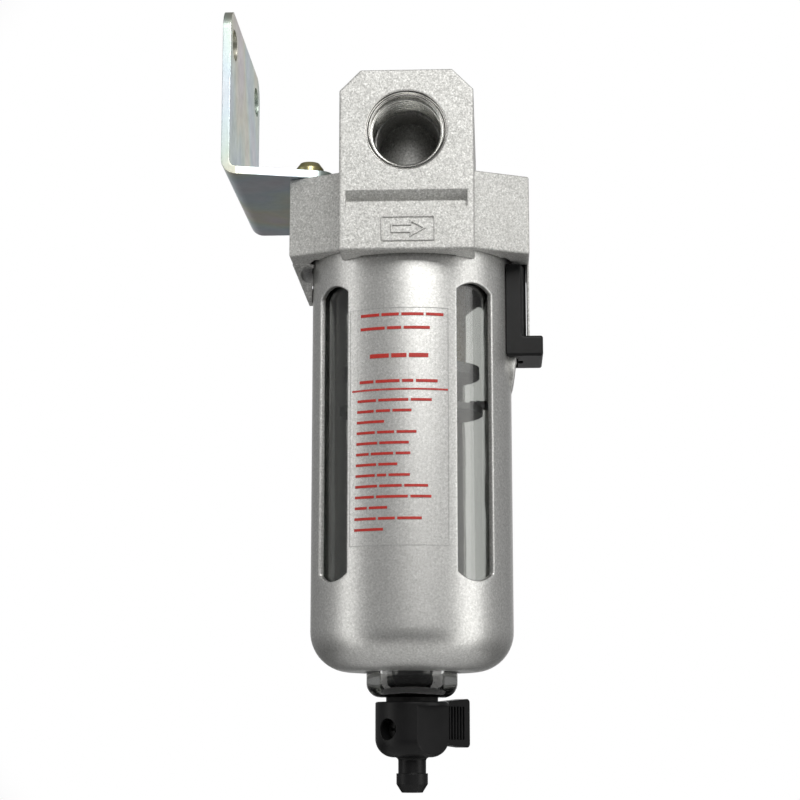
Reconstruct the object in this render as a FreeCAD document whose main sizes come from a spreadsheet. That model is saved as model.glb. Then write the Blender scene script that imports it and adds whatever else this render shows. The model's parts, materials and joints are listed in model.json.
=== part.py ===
import FreeCAD, Part
import math
import os
import re
import Sketcher

# Compressed air filter with a bayonet bowl guard, a wall bracket and a lever drain cock.
# Millimetres. While a piece is being built, the bowl axis is the Z axis and the port axis is
# the Y axis, both through 0,0,0. The inlet faces -Y and the wall bracket stands at -X.
# Every sub-part is then placed so that 0,0,0 is midway between the bracket's two wall slots,
# on the face that lies on the wall. Sizes whose names end in _drop are depths under the port axis.

SIZES = {
    # bracket
    "axis_from_wall": 54.5,
    "slots_above_port": 33.2,
    "bracket_shift": 9.8,
    "sheet_thickness": 2.4,
    "bend_radius": 2.0,
    "bracket_width": 69.6,
    "bracket_top": 42.4,
    "bracket_corner": 7.0,
    "flange_corner": 5.0,
    "bracket_taper": 6.8,
    "flange_end": 22.7,
    "slot_spacing": 52.0,
    "slot_width": 8.8,
    "slot_length": 10.5,
    "bracket_screw_x": 29.5,
    "bracket_screw_y": 14.0,
    "bracket_screw_radius": 2.0,
    "bracket_screw_length": 9.0,
    "bracket_head_radius": 4.1,
    "bracket_head_height": 3.4,
    "bracket_recess_share": 0.45,
    "screw_clearance": 0.25,
    "thread_gap": 0.04,
    # body
    "cast_round": 0.6,
    "body_wall": 5.5,
    "port_block_width": 38.4,
    "port_block_top": 18.0,
    "port_block_chamfer": 6.1,
    "port_block_drop": 35.2,
    "shoulder_flat": 35.6,
    "shoulder_corner_wall": 2.2,
    "shoulder_top_drop": 9.3,
    "shoulder_bottom_drop": 32.6,
    "thread_radius": 10.48,
    "thread_depth": 13.0,
    "mouth_chamfer": 1.37,
    "thread_step": 1.28,
    "column_radius": 12.0,
    "column_bore": 8.5,
    "drop_width": 16.0,
    "ceiling_drop": 18.0,
    "column_end_drop": 24.0,
    "web_thickness": 4.0,
    "module_groove_width": 34.6,
    "module_groove_drop": 17.8,
    "module_groove_height": 4.9,
    "module_groove_depth": 2.5,
    "ear_half_width": 9.0,
    "ear_tip_half_width": 5.0,
    "ear_length": 9.5,
    "ear_tip_reach": 1.6,
    "ear_inset": 3.0,
    "ear_hole_radius": 2.3,
    "ear_hole_reach": 0.7,
    "ear_hole_below": 2.8,
    "tongue_half_width": 6.0,
    "tongue_length": 21.8,
    "tongue_root": 2.0,
    "tongue_thickness": 0.6,
    # bayonet
    "guard_clearance": 0.4,
    "guard_inside_body": 8.6,
    "tab_reach": 1.3,
    "tab_height": 3.5,
    "tab_half_angle": 20.0,
    "entry_half_angle": 27.0,
    "bayonet_play": 0.3,
    "bayonet_turn": 45.0,
    # guard
    "guard_radius": 29.5,
    "guard_wall": 1.6,
    "guard_bottom_drop": 152.1,
    "guard_corner": 11.5,
    "window_below_body": 9.6,
    "window_above_bottom": 24.6,
    "window_width": 13.4,
    "window_end_radius": 10.3,
    "window_turn": 3.8,
    "boss_half_width": 7.0,
    "boss_height": 1.8,
    "boss_gap": 3.2,
    "boss_length": 35.2,
    "channel_half_width": 4.6,
    "channel_depth": 2.0,
    # bowl
    "bowl_clearance": 0.35,
    "bowl_gap": 0.6,
    "bowl_wall": 3.0,
    "bowl_top_gap": 1.0,
    "bowl_gap_below": 0.5,
    "bowl_corner": 10.0,
    "bowl_neck_radius": 13.2,
    "bowl_neck_length": 7.3,
    "bowl_neck_corner": 4.2,
    "bowl_floor": 4.0,
    "neck_gap": 0.6,
    "seal_wire": 1.0,
    "seal_below_top": 2.6,
    "seal_groove_half": 1.2,
    "seal_groove_depth": 1.7,
    "seal_gap": 0.05,
    # lock button
    "button_half_width": 10.0,
    "button_round": 0.7,
    "button_below_body": 1.0,
    "button_height": 27.4,
    "thumb_height": 6.0,
    "thumb_reach": 4.7,
    "button_gap": 0.3,
    "key_half_width": 5.0,
    "key_reach": 2.2,
    "key_thickness": 2.1,
    "key_spare": 2.2,
    "button_travel": 5.0,
    "spring_radius": 1.35,
    "spring_wire": 0.22,
    "spring_turns": 6.0,
    "spring_reach": 1.7,
    "spring_length": 10.0,
    "spring_above_bottom": 1.0,
    "spring_pocket_half": 1.9,
    "spring_pocket_gap": 0.5,
    "spring_seat": 1.2,
    # label
    "label_thickness": 0.12,
    "label_start": -34.0,
    "label_angle": 57.0,
    "label_below_body": 18.0,
    "label_above_bottom": 33.9,
    # air side internals
    "deflector_gap": 2.3,
    "deflector_hub": 16.0,
    "deflector_height": 6.6,
    "deflector_plate": 2.0,
    "vane_count": 12.0,
    "vane_thickness": 1.0,
    "vane_tilt": 35.0,
    "vane_root": 0.8,
    "inner_gap": 0.2,
    "gasket_thickness": 1.0,
    "element_radius": 16.0,
    "element_bore": 11.0,
    "element_length": 37.0,
    "baffle_gap": 4.3,
    "baffle_thickness": 3.0,
    "spool_radius": 8.0,
    "spool_height": 9.0,
    "lower_baffle_gap": 3.3,
    "lower_baffle_thickness": 2.0,
    "hook_count": 8.0,
    "hook_height": 2.0,
    "hook_inset": 0.2,
    "hook_thickness": 1.0,
    "hook_length": 3.0,
    "stud_radius": 2.5,
    "stud_above_ceiling": 3.0,
    "stud_spare": 1.0,
    "nut_flats": 8.0,
    "nut_height": 4.0,
    # drain cock
    "collar_radius": 7.5,
    "collar_height": 1.2,
    "drain_radius": 10.6,
    "drain_height": 15.7,
    "drain_flat_depth": 1.4,
    "drain_cap_height": 1.2,
    "drain_turn": 40.0,
    "drain_edge_round": 0.5,
    "barb_root_round": 1.0,
    "barb_neck_radius": 4.0,
    "barb_neck_length": 4.5,
    "barb_radius": 4.52,
    "barb_length": 3.0,
    "barb_chamfer_length": 2.4,
    "barb_end_radius": 3.0,
    "barb_bore": 1.6,
    "stem_radius": 5.8,
    "stem_gap": 0.25,
    "stem_spare": 0.4,
    "stem_bore": 2.6,
    "drain_nut_flats": 16.0,
    "drain_nut_height": 5.0,
    "drain_gasket_radius": 8.6,
    "plug_below_top": 7.8,
    "plug_radius": 3.0,
    "plug_fit": 0.05,
    "plug_back": 5.4,
    "plug_groove_depth": 0.9,
    "plug_groove_width": 1.2,
    "plug_seal_gap": 0.02,
    "plug_seal_place": 4.2,
    "lever_screw_radius": 1.4,
    "lever_screw_head": 2.6,
    "lever_screw_head_height": 1.6,
    "lever_screw_length": 6.0,
    "lever_start": 11.2,
    "lever_end": 22.9,
    "lever_rise": 1.9,
    "lever_corner": 1.2,
    "lever_thickness": 4.4,
    "lever_root_height": 12.2,
    "lever_tip_height": 14.4,
    "lever_rib_count": 6.0,
    "lever_face_depth": 0.6,
    "lever_slot_share": 0.62,
    "lever_rim": 1.3,
}

NAMES = re.compile(r"[a-z][a-z_]+")
PLANE_ROLES = {"XY": "XY_Plane", "XZ": "XZ_Plane", "YZ": "YZ_Plane"}
X_AXIS = FreeCAD.Vector(1, 0, 0)
Y_AXIS = FreeCAD.Vector(0, 1, 0)
Z_AXIS = FreeCAD.Vector(0, 0, 1)
ROUND_TOLERANCE = 0.01

# Sizes that follow from the driving ones. A formula may name another of these.
DERIVED = {
    "port_span": "2 * (guard_radius + body_wall)",
    "body_width": "2 * (guard_radius + body_wall)",
    "shoulder_front": "sqrt((guard_radius + shoulder_corner_wall) ^ 2 - (port_block_width / 2) ^ 2)",
    "mouth_radius": "thread_radius + mouth_chamfer",
    "passage_radius": "thread_radius - thread_step",
    "stud_top_drop": "ceiling_drop - stud_above_ceiling",
    "ear_drop": "shoulder_bottom_drop + ear_length",
    "tongue_drop": "shoulder_bottom_drop + tongue_length",
    "tongue_inner": "guard_radius + body_wall - tongue_thickness",
    "guard_inner": "guard_radius - guard_wall",
    "guard_top_drop": "shoulder_bottom_drop - guard_inside_body",
    "window_top_drop": "shoulder_bottom_drop + window_below_body",
    "window_bottom_drop": "guard_bottom_drop - window_above_bottom",
    "boss_reach": "guard_radius + boss_height",
    "boss_top_drop": "shoulder_bottom_drop + boss_gap",
    "boss_bottom_drop": "boss_top_drop + boss_length",
    "channel_floor": "boss_reach - channel_depth",
    "bowl_radius": "guard_inner - bowl_gap",
    "bowl_inner": "bowl_radius - bowl_wall",
    "bowl_top_drop": "ceiling_drop + bowl_top_gap",
    "bowl_under_drop": "guard_bottom_drop - guard_wall - bowl_gap_below",
    "bowl_floor_drop": "bowl_under_drop - bowl_floor",
    "bowl_neck_drop": "guard_bottom_drop + bowl_neck_length",
    "seal_drop": "bowl_top_drop + seal_below_top",
    "button_side": "tongue_inner - button_gap",
    "button_top_drop": "shoulder_bottom_drop + button_below_body",
    "button_bottom_drop": "button_top_drop + button_height",
    "thumb_top_drop": "button_bottom_drop - thumb_height",
    "key_inner_radius": "guard_radius + key_reach",
    "key_outer_radius": "key_inner_radius + key_thickness",
    "key_top": "button_travel - key_spare - shoulder_bottom_drop",
    "spring_x": "guard_radius + spring_reach",
    "spring_bottom_drop": "button_bottom_drop - spring_above_bottom",
    "spring_top_drop": "spring_bottom_drop - spring_length",
    "label_top_drop": "shoulder_bottom_drop + label_below_body",
    "label_end_drop": "guard_bottom_drop - label_above_bottom",
    "deflector_radius": "bowl_inner - deflector_gap",
    "deflector_top": "-ceiling_drop - inner_gap",
    "deflector_bottom": "deflector_top - deflector_height",
    "baffle_radius": "bowl_inner - baffle_gap",
    "lower_baffle_radius": "bowl_inner - lower_baffle_gap",
    "drain_top_drop": "bowl_neck_drop + collar_height",
    "drain_shoulder_drop": "drain_top_drop + drain_height",
    "drain_flat_distance": "drain_radius - drain_flat_depth",
    "drain_flat_top_drop": "drain_top_drop + drain_cap_height",
    "barb_ledge_drop": "drain_shoulder_drop + barb_neck_length",
    "barb_chamfer_drop": "barb_ledge_drop + barb_length",
    "barb_end_drop": "barb_chamfer_drop + barb_chamfer_length",
    "stem_top_drop": "bowl_floor_drop - gasket_thickness - drain_nut_height - stem_spare",
    "plug_drop": "drain_top_drop + plug_below_top",
    "lever_drop": "plug_drop - lever_rise",
}

document = FreeCAD.newDocument("air_filter")
gauge = document.addObject("Part::Vertex", "gauge")
sub_parts = []
places = {}


def make_sheet():
    """One row per driving size: its name, and its value under the same alias."""
    sheet = document.addObject("Spreadsheet::Sheet", "Sizes")
    for row, (name, value) in enumerate(SIZES.items(), start=1):
        sheet.set(f"A{row}", name)
        sheet.set(f"B{row}", str(value))
        sheet.setAlias(f"B{row}", name)
    document.recompute()


def formula(text):
    """Write size names in a formula the way the sheet's aliases are read."""

    def reference(match):
        name = match.group()
        if name in DERIVED:
            return f"({formula(DERIVED[name])})"
        return f"Sizes.{name}" if name in SIZES else name
    return NAMES.sub(reference, str(text))


def bind(thing, prop, text):
    thing.setExpression(prop, formula(text))


def measure(text):
    """The number that a formula comes to, read off a bound point."""
    bind(gauge, "X", text)
    gauge.recompute()
    return gauge.X.Value


def move(thing, x="0", y="0", z="0"):
    """Bind a thing's place to formulas, and remember them."""
    places[thing.Name] = (x, y, z)
    for letter, text in zip("xyz", (x, y, z)):
        bind(thing, f"Placement.Base.{letter}", text)


def turn(thing, angle, axis=Z_AXIS):
    """Bind a thing's turn about an axis to a formula in degrees."""
    thing.Placement.Rotation = FreeCAD.Rotation(axis, 1)
    bind(thing, "Placement.Rotation.Angle", angle)


def box(name, x_range, y_range, z_range):
    thing = document.addObject("Part::Box", name)
    for prop, (low, high) in zip(("Length", "Width", "Height"), (x_range, y_range, z_range)):
        bind(thing, prop, f"({high}) - ({low})")
    move(thing, x_range[0], y_range[0], z_range[0])
    return thing


def rod(name, radius, z_range, x="0", y="0"):
    """A cylinder that stands along Z."""
    thing = document.addObject("Part::Cylinder", name)
    bind(thing, "Radius", radius)
    bind(thing, "Height", f"({z_range[1]}) - ({z_range[0]})")
    move(thing, x, y, z_range[0])
    return thing


def bar(name, radius, span, axis, x="0", y="0", z="0"):
    """A cylinder that lies along X or Y, over the given span of that axis."""
    thing = document.addObject("Part::Cylinder", name)
    bind(thing, "Radius", radius)
    bind(thing, "Height", f"({span[1]}) - ({span[0]})")
    if axis == "X":
        thing.Placement.Rotation = FreeCAD.Rotation(Z_AXIS, X_AXIS)
        move(thing, span[0], y, z)
    else:
        thing.Placement.Rotation = FreeCAD.Rotation(Z_AXIS, Y_AXIS)
        move(thing, x, span[0], z)
    return thing


def taper(name, low_radius, high_radius, z_range, x="0", y="0"):
    thing = document.addObject("Part::Cone", name)
    bind(thing, "Radius1", low_radius)
    bind(thing, "Radius2", high_radius)
    bind(thing, "Height", f"({z_range[1]}) - ({z_range[0]})")
    move(thing, x, y, z_range[0])
    return thing


def ring(name, middle_radius, wire_radius, z):
    thing = document.addObject("Part::Torus", name)
    bind(thing, "Radius1", middle_radius)
    bind(thing, "Radius2", wire_radius)
    move(thing, "0", "0", z)
    return thing


def sector(name, radius, z_range, middle_angle, half_angle):
    """A slice of a cylinder about Z; angles are counted from +X."""
    thing = rod(name, radius, z_range)
    bind(thing, "Angle", f"2 * ({half_angle})")
    turn(thing, f"({middle_angle}) - ({half_angle})")
    return thing


def hexagon(name, flats, z_range):
    thing = document.addObject("Part::Prism", name)
    thing.Polygon = 6
    bind(thing, "Circumradius", f"({flats}) / 2 / cos(30)")
    bind(thing, "Height", f"({z_range[1]}) - ({z_range[0]})")
    move(thing, "0", "0", z_range[0])
    return thing


def join(name, *things):
    thing = document.addObject("Part::MultiFuse", name)
    thing.Shapes = list(things)
    thing.Refine = True
    return thing


def overlap(name, *things):
    thing = document.addObject("Part::MultiCommon", name)
    thing.Shapes = list(things)
    return thing


def cut(name, base, *tools):
    tool = tools[0] if len(tools) == 1 else join(f"{name}_cutters", *tools)
    thing = document.addObject("Part::Cut", name)
    thing.Base = base
    thing.Tool = tool
    thing.Refine = True
    return thing


def sketch_on(body, plane, corners):
    """A closed outline whose corners are bound to formulas for its two directions."""
    sketch = body.newObject("Sketcher::SketchObject", f"{body.Name}_outline")
    planes = {feature.Role: feature for feature in body.Origin.OriginFeatures}
    sketch.AttachmentSupport = [(planes[PLANE_ROLES[plane]], "")]
    sketch.MapMode = "FlatFace"
    count = len(corners)
    start = [
        FreeCAD.Vector(math.cos(math.tau * i / count), math.sin(math.tau * i / count), 0)
        for i in range(count)
    ]
    for i in range(count):
        sketch.addGeometry(Part.LineSegment(start[i], start[(i + 1) % count]))
    for i in range(count):
        sketch.addConstraint(Sketcher.Constraint("Coincident", i, 2, (i + 1) % count, 1))
    for i, corner in enumerate(corners):
        for kind, text, place in zip(("DistanceX", "DistanceY"), corner, (start[i].x, start[i].y)):
            number = sketch.addConstraint(Sketcher.Constraint(kind, -1, 1, i, 1, place))
            bind(sketch, f"Constraints[{number}]", text)
    return sketch


def turned(name, corners):
    """A solid of revolution about Z from an outline of radius and height."""
    body = document.addObject("PartDesign::Body", name)
    sketch = sketch_on(body, "XZ", corners)
    feature = body.newObject("PartDesign::Revolution", f"{name}_turned")
    feature.Profile = sketch
    feature.ReferenceAxis = (sketch, ["V_Axis"])
    feature.Angle = 360
    document.recompute()
    return body


def prism(name, plane, corners, thickness):
    """An outline made thick to both sides of its plane."""
    body = document.addObject("PartDesign::Body", name)
    sketch = sketch_on(body, plane, corners)
    feature = body.newObject("PartDesign::Pad", f"{name}_pad")
    feature.Profile = sketch
    bind(feature, "Length", thickness)
    feature.Midplane = True
    document.recompute()
    return body


def round_edges(body, radius, wanted):
    """Fillet the edges of a body's last feature that a test picks."""
    base = body.Tip
    edges = [f"Edge{n}" for n, edge in enumerate(base.Shape.Edges, start=1) if wanted(edge)]
    feature = body.newObject("PartDesign::Fillet", f"{body.Name}_round_{len(body.Group)}")
    feature.Base = (base, edges)
    bind(feature, "Radius", radius)
    document.recompute()


def every_edge(_edge):
    return True


def rounded_copy(name, solid, radius, wanted):
    """Part::Fillet over a finished solid, on the edges that a test picks."""
    document.recompute()
    thing = document.addObject("Part::Fillet", name)
    thing.Base = solid
    thing.Edges = [
        (n, SIZES[radius], SIZES[radius])
        for n, edge in enumerate(solid.Shape.Edges, start=1) if wanted(edge)
    ]
    return thing


def circle_at(radius, height):
    """A test for a round edge about Z with this radius at this height."""
    def wanted(edge):
        curve = edge.Curve
        if not isinstance(curve, Part.Circle):
            return False
        same_radius = abs(curve.Radius - radius) < ROUND_TOLERANCE
        return same_radius and abs(curve.Center.z - height) < ROUND_TOLERANCE
    return wanted


def sub_part(label, thing):
    """Name a finished piece and put it in the part's own frame."""
    thing.Label = label
    x, y, z = places.get(thing.Name, ("0", "0", "0"))
    move(thing, f"{x} + axis_from_wall", f"{y} - bracket_shift", f"{z} - slots_above_port")
    sub_parts.append(thing)


# ---- body and bracket -------------------------------------------------------------------

def shoulder():
    half_flat = "shoulder_flat / 2"
    half_block = "port_block_width / 2"
    side = "body_width / 2"
    front = "shoulder_front"
    corners = []
    for sx, sy, first in ((1, -1, "x"), (1, 1, "y"), (-1, 1, "x"), (-1, -1, "y")):
        near_port = (f"{sx} * {half_block}", f"{sy} * ({front})")
        near_side = (f"{sx} * {side}", f"{sy} * {half_flat}")
        corners += [near_port, near_side] if first == "x" else [near_side, near_port]
    height = "shoulder_bottom_drop - shoulder_top_drop"
    solid = prism("shoulder", "XY", corners, height)
    round_edges(solid, "cast_round", every_edge)
    move(solid, "0", "0", "-(shoulder_top_drop + shoulder_bottom_drop) / 2")
    return solid


def port_block():
    half = "port_block_width / 2"
    top = "port_block_top"
    corners = [
        (f"-{half}", "-port_block_drop"),
        (half, "-port_block_drop"),
        (half, f"{top} - port_block_chamfer"),
        (f"{half} - port_block_chamfer", top),
        (f"port_block_chamfer - {half}", top),
        (f"-{half}", f"{top} - port_block_chamfer"),
    ]
    solid = prism("port_block", "XZ", corners, "port_span")
    round_edges(solid, "cast_round", every_edge)
    return solid


def port_cutter(side):
    """Chamfered mouth, thread wall and passage of one port; side is -1 inlet, +1 outlet."""
    name = "inlet" if side < 0 else "outlet"
    face = f"{side} * port_span / 2"
    wall_end = f"{side} * (port_span / 2 - thread_depth)"
    mouth = taper(f"{name}_mouth", "thread_radius", "mouth_radius", ("0", "mouth_radius - thread_radius"))
    direction = FreeCAD.Vector(0, side, 0)
    mouth.Placement.Rotation = FreeCAD.Rotation(Z_AXIS, direction)
    move(mouth, "0", f"{face} - {side} * (mouth_radius - thread_radius)", "0")
    spans = {-1: (face, wall_end), 1: (wall_end, face)}
    wall = bar(f"{name}_thread_wall", "thread_radius", spans[side], "Y")
    inner = {-1: (wall_end, "0"), 1: ("0", wall_end)}
    passage = bar(f"{name}_passage", "passage_radius", inner[side], "Y")
    return mouth, wall, passage


def bayonet_cutters():
    """The groove that the guard's tabs turn in, and the four ways down out of it."""
    reach = "guard_radius + tab_reach + bayonet_play"
    top = "-guard_top_drop + bayonet_play"
    groove_bottom = "-guard_top_drop - tab_height - bayonet_play"
    cutters = [rod("tab_groove", reach, (groove_bottom, top))]
    for quarter in range(4):
        way = sector(f"tab_way_{quarter}", reach, ("-port_block_drop - 1", top),
                     f"{90 * quarter}", "entry_half_angle")
        cutters.append(way)
    return cutters


def key_groove():
    """The groove that the lock button's key enters; it is open towards the way the bowl turns."""
    play = "bayonet_play"
    key_angle = "asin(key_half_width / key_outer_radius)"
    low = f"-({key_angle}) / 1 deg - 1"
    high = f"({key_angle}) / 1 deg + bayonet_turn + 1"
    middle = f"(({low}) + ({high})) / 2"
    half = f"(({high}) - ({low})) / 2"
    z_range = ("-port_block_drop - 1", f"key_top + {play}")
    outer = sector("key_groove_outer", f"key_outer_radius + {play}", z_range, middle, half)
    lower = sector("key_groove_lower", "guard_radius", z_range, middle, half)
    return cut("key_groove", outer, lower)


def button_way():
    """The recess under the port block that the lock button's top sweeps through."""
    half_angle = "asin(button_half_width / button_side) / 1 deg"
    low = f"-({half_angle}) - 2"
    high = f"({half_angle}) + bayonet_turn + 2"
    return sector("button_way", "button_side + button_gap", ("-port_block_drop - 1", "-shoulder_bottom_drop"),
                  f"(({low}) + ({high})) / 2", f"(({high}) - ({low})) / 2")


def ear():
    """The tapered ear that comes down beside the guard on the bracket's side."""
    wedge = document.addObject("Part::Wedge", "ear_wedge")
    inside = "ear_inset - guard_radius"
    bounds = {
        "Xmin": "-body_width / 2", "Xmax": inside,
        "X2min": "-guard_radius - ear_tip_reach", "X2max": inside,
        "Ymin": "0", "Ymax": "ear_length",
        "Zmin": "-ear_half_width", "Zmax": "ear_half_width",
        "Z2min": "-ear_tip_half_width", "Z2max": "ear_tip_half_width",
    }
    for prop, text in bounds.items():
        bind(wedge, prop, text)
    wedge.Placement.Rotation = FreeCAD.Rotation(X_AXIS, -90)
    move(wedge, "0", "0", "-shoulder_bottom_drop")
    room = rod("ear_room", "guard_radius + guard_clearance", ("-ear_drop - 1", "-shoulder_bottom_drop"))
    hole = bar("ear_hole", "ear_hole_radius", ("-2 * ear_half_width", "2 * ear_half_width"), "Y",
               x="-guard_radius - ear_hole_reach", z="-shoulder_bottom_drop - ear_hole_below")
    return cut("ear", wedge, room, hole)


def tongue():
    """The thin tongue that covers the lock button's outer face."""
    return box("tongue", ("tongue_inner", "body_width / 2"), ("-tongue_half_width", "tongue_half_width"),
               ("-tongue_drop", "tongue_root - shoulder_bottom_drop"))


def module_groove(side):
    """The sloped groove across a port face that a joining clamp grips."""
    depth = "module_groove_depth"
    face = "port_span / 2"
    corners = [
        (f"{side} * ({face} + 1)", "-module_groove_drop"),
        (f"{side} * {face}", "-module_groove_drop"),
        (f"{side} * ({face} - {depth})", f"-module_groove_drop - {depth}"),
        (f"{side} * ({face} - {depth})", "-module_groove_drop - module_groove_height"),
        (f"{side} * ({face} + 1)", "-module_groove_drop - module_groove_height"),
    ]
    name = "front_groove" if side < 0 else "rear_groove"
    return prism(name, "YZ", corners, "module_groove_width")


def make_body():
    blocks = join("body_blocks", shoulder(), port_block())
    cutters = [*port_cutter(-1), *port_cutter(1)]
    column = rod("column_keep", "column_radius", ("-ceiling_drop - 1", "passage_radius + 1"))
    front_half = box("front_keep", ("-column_radius", "column_radius"), ("-column_radius", "0"),
                     ("-ceiling_drop - 1", "passage_radius + 1"))
    keep = overlap("inlet_back_wall", column, front_half)
    drop = box("inlet_drop", ("-drop_width / 2", "drop_width / 2"),
               ("-port_span / 2 + thread_depth + 0.5", "0"), ("-ceiling_drop - 1", "0"))
    air_side = cut("inlet_side", join("inlet_air", cutters[2], drop), keep)
    well = rod("bowl_well", "bowl_radius + bowl_clearance", ("-port_block_drop - 1", "-ceiling_drop"))
    hub = rod("column_end", "column_radius", ("-column_end_drop", "-ceiling_drop"))
    open_well = cut("well_round_column", well, hub)
    guard_room = rod("guard_room", "guard_radius + guard_clearance",
                     ("-port_block_drop - 1", "-guard_top_drop + bayonet_play"))
    guard_ring = cut("guard_ring", guard_room, rod("guard_core", "bowl_radius", ("-port_block_drop - 2", "0")))
    bore = rod("column_bore", "column_bore", ("-column_end_drop - 1", "0"))
    web = box("web", ("-column_bore - 1", "column_bore + 1"), ("-web_thickness / 2", "web_thickness / 2"),
              ("-column_end_drop", "-stud_top_drop"))
    boss = rod("stud_boss", "web_thickness", ("-column_end_drop", "-stud_top_drop"))
    air_out = cut("outlet_air", bore, join("web_and_boss", web, boss))
    tapped = rod("stud_hole", "stud_radius + thread_gap", ("-column_end_drop - 1", "-stud_top_drop + 1"))
    bracket_holes = [
        rod(f"bracket_hole_{n}", "bracket_screw_radius + thread_gap",
            ("-shoulder_top_drop - bracket_screw_length + sheet_thickness - 1", "-shoulder_top_drop + 1"),
            "-bracket_screw_x", f"{side} * bracket_screw_y")
        for n, side in enumerate((-1, 1))
    ]
    bayonet = cut("bayonet_ring", join("bayonet_ways", *bayonet_cutters()),
                  rod("bayonet_core", "bowl_radius", ("-port_block_drop - 2", "0")))
    hollow = cut("hollow_blocks", blocks, cutters[0], cutters[1], *cutters[3:], air_side, open_well,
                 guard_ring, air_out, *bracket_holes, bayonet, key_groove(), button_way(),
                 module_groove(-1), module_groove(1))
    tapped_body = cut("tapped_blocks", hollow, tapped)
    sub_part("body", join("body", tapped_body, ear(), tongue()))


def make_bracket():
    inner = "-axis_from_wall + sheet_thickness"
    flange_top = "-shoulder_top_drop + sheet_thickness"
    corners = [
        ("-axis_from_wall", "-shoulder_top_drop"),
        ("-flange_end", "-shoulder_top_drop"),
        ("-flange_end", flange_top),
        (inner, flange_top),
        (inner, "bracket_top"),
        ("-axis_from_wall", "bracket_top"),
    ]
    profile = prism("bracket_profile", "XZ", corners, "bracket_width")
    wall = -SIZES["axis_from_wall"]
    low = -SIZES["shoulder_top_drop"]
    sheet = SIZES["sheet_thickness"]

    def bend_edge(x, z):
        def wanted(edge):
            middle = edge.CenterOfMass
            return abs(middle.x - x) < ROUND_TOLERANCE and abs(middle.z - z) < ROUND_TOLERANCE
        return wanted
    round_edges(profile, "bend_radius + sheet_thickness", bend_edge(wall, low))
    round_edges(profile, "bend_radius", bend_edge(wall + sheet, low + sheet))

    def top_corner(edge):
        middle = edge.CenterOfMass
        along_x = abs(edge.BoundBox.XLength - sheet) < ROUND_TOLERANCE
        return along_x and middle.z > SIZES["bracket_top"] - 1 and edge.BoundBox.YLength < ROUND_TOLERANCE
    round_edges(profile, "bracket_corner", top_corner)

    half = "bracket_width / 2"
    narrow = "(bracket_taper - bracket_width / 2)"
    bend_x = "-axis_from_wall + sheet_thickness + bend_radius"
    plan_corners = [
        ("-axis_from_wall - 1", f"-{half} - 1"),
        (bend_x, f"-{half} - 1"),
        (bend_x, f"-{half}"),
        ("-flange_end", narrow),
        ("-flange_end", f"{half} + 1"),
        ("-axis_from_wall - 1", f"{half} + 1"),
    ]
    plan = prism("bracket_plan", "XY", plan_corners, "4 * bracket_top")

    def flange_end_corner(edge):
        middle = edge.CenterOfMass
        upright = edge.BoundBox.ZLength > SIZES["bracket_top"]
        return upright and abs(middle.x + SIZES["flange_end"]) < ROUND_TOLERANCE and middle.y < 0
    round_edges(plan, "flange_corner", flange_end_corner)
    sheet_metal = overlap("bracket_blank", profile, plan)
    cutters = []
    for n, side in enumerate((-1, 1)):
        centre = f"{side} * slot_spacing / 2"
        run = "(slot_length - slot_width) / 2"
        span = ("-axis_from_wall - 1", f"{inner} + 1")
        for end in (-1, 1):
            cutters.append(bar(f"slot_{n}_end_{end + 1}", "slot_width / 2", span, "X",
                               y=f"{centre} + {end} * {run}", z="slots_above_port"))
        cutters.append(box(f"slot_{n}_middle", span, (f"{centre} - {run}", f"{centre} + {run}"),
                           ("slots_above_port - slot_width / 2", "slots_above_port + slot_width / 2")))
        cutters.append(rod(f"flange_hole_{n}", "bracket_screw_radius + screw_clearance",
                           ("-shoulder_top_drop - 1", f"{flange_top} + 1"),
                           "-bracket_screw_x", f"{side} * bracket_screw_y - bracket_shift"))
    bracket = cut("bracket", sheet_metal, *cutters)
    sub_part("bracket", bracket)
    bind(bracket, "Placement.Base.y", "0")


def make_bracket_screws():
    seat = "-shoulder_top_drop + sheet_thickness"
    screws = []
    for n, side in enumerate((-1, 1)):
        place = ("-bracket_screw_x", f"{side} * bracket_screw_y")
        shank = rod(f"bracket_shank_{n}", "bracket_screw_radius", (f"{seat} - bracket_screw_length", seat), *place)
        head = rod(f"bracket_head_{n}", "bracket_head_radius", (seat, f"{seat} + bracket_head_height / 2"), *place)
        crown = taper(f"bracket_crown_{n}", "bracket_head_radius", "0.7 * bracket_head_radius",
                      (f"{seat} + bracket_head_height / 2", f"{seat} + bracket_head_height"), *place)
        solid = join(f"bracket_screw_{n}", shank, head, crown)
        x, y = place
        arm = "0.5 * bracket_head_radius"
        blade = "0.12 * bracket_head_radius"
        recess_z = (f"{seat} + bracket_recess_share * bracket_head_height", f"{seat} + bracket_head_height + 1")
        slots = [
            box(f"recess_{n}_{k}", (f"{x} - {a}", f"{x} + {a}"), (f"{y} - {b}", f"{y} + {b}"), recess_z)
            for k, (a, b) in enumerate(((arm, blade), (blade, arm)))
        ]
        screws.append(cut(f"bracket_screw_cut_{n}", solid, *slots))
    sub_part("bracket_screws", join("bracket_screws", *screws))


# ---- guard, bowl and lock ---------------------------------------------------------------

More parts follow.
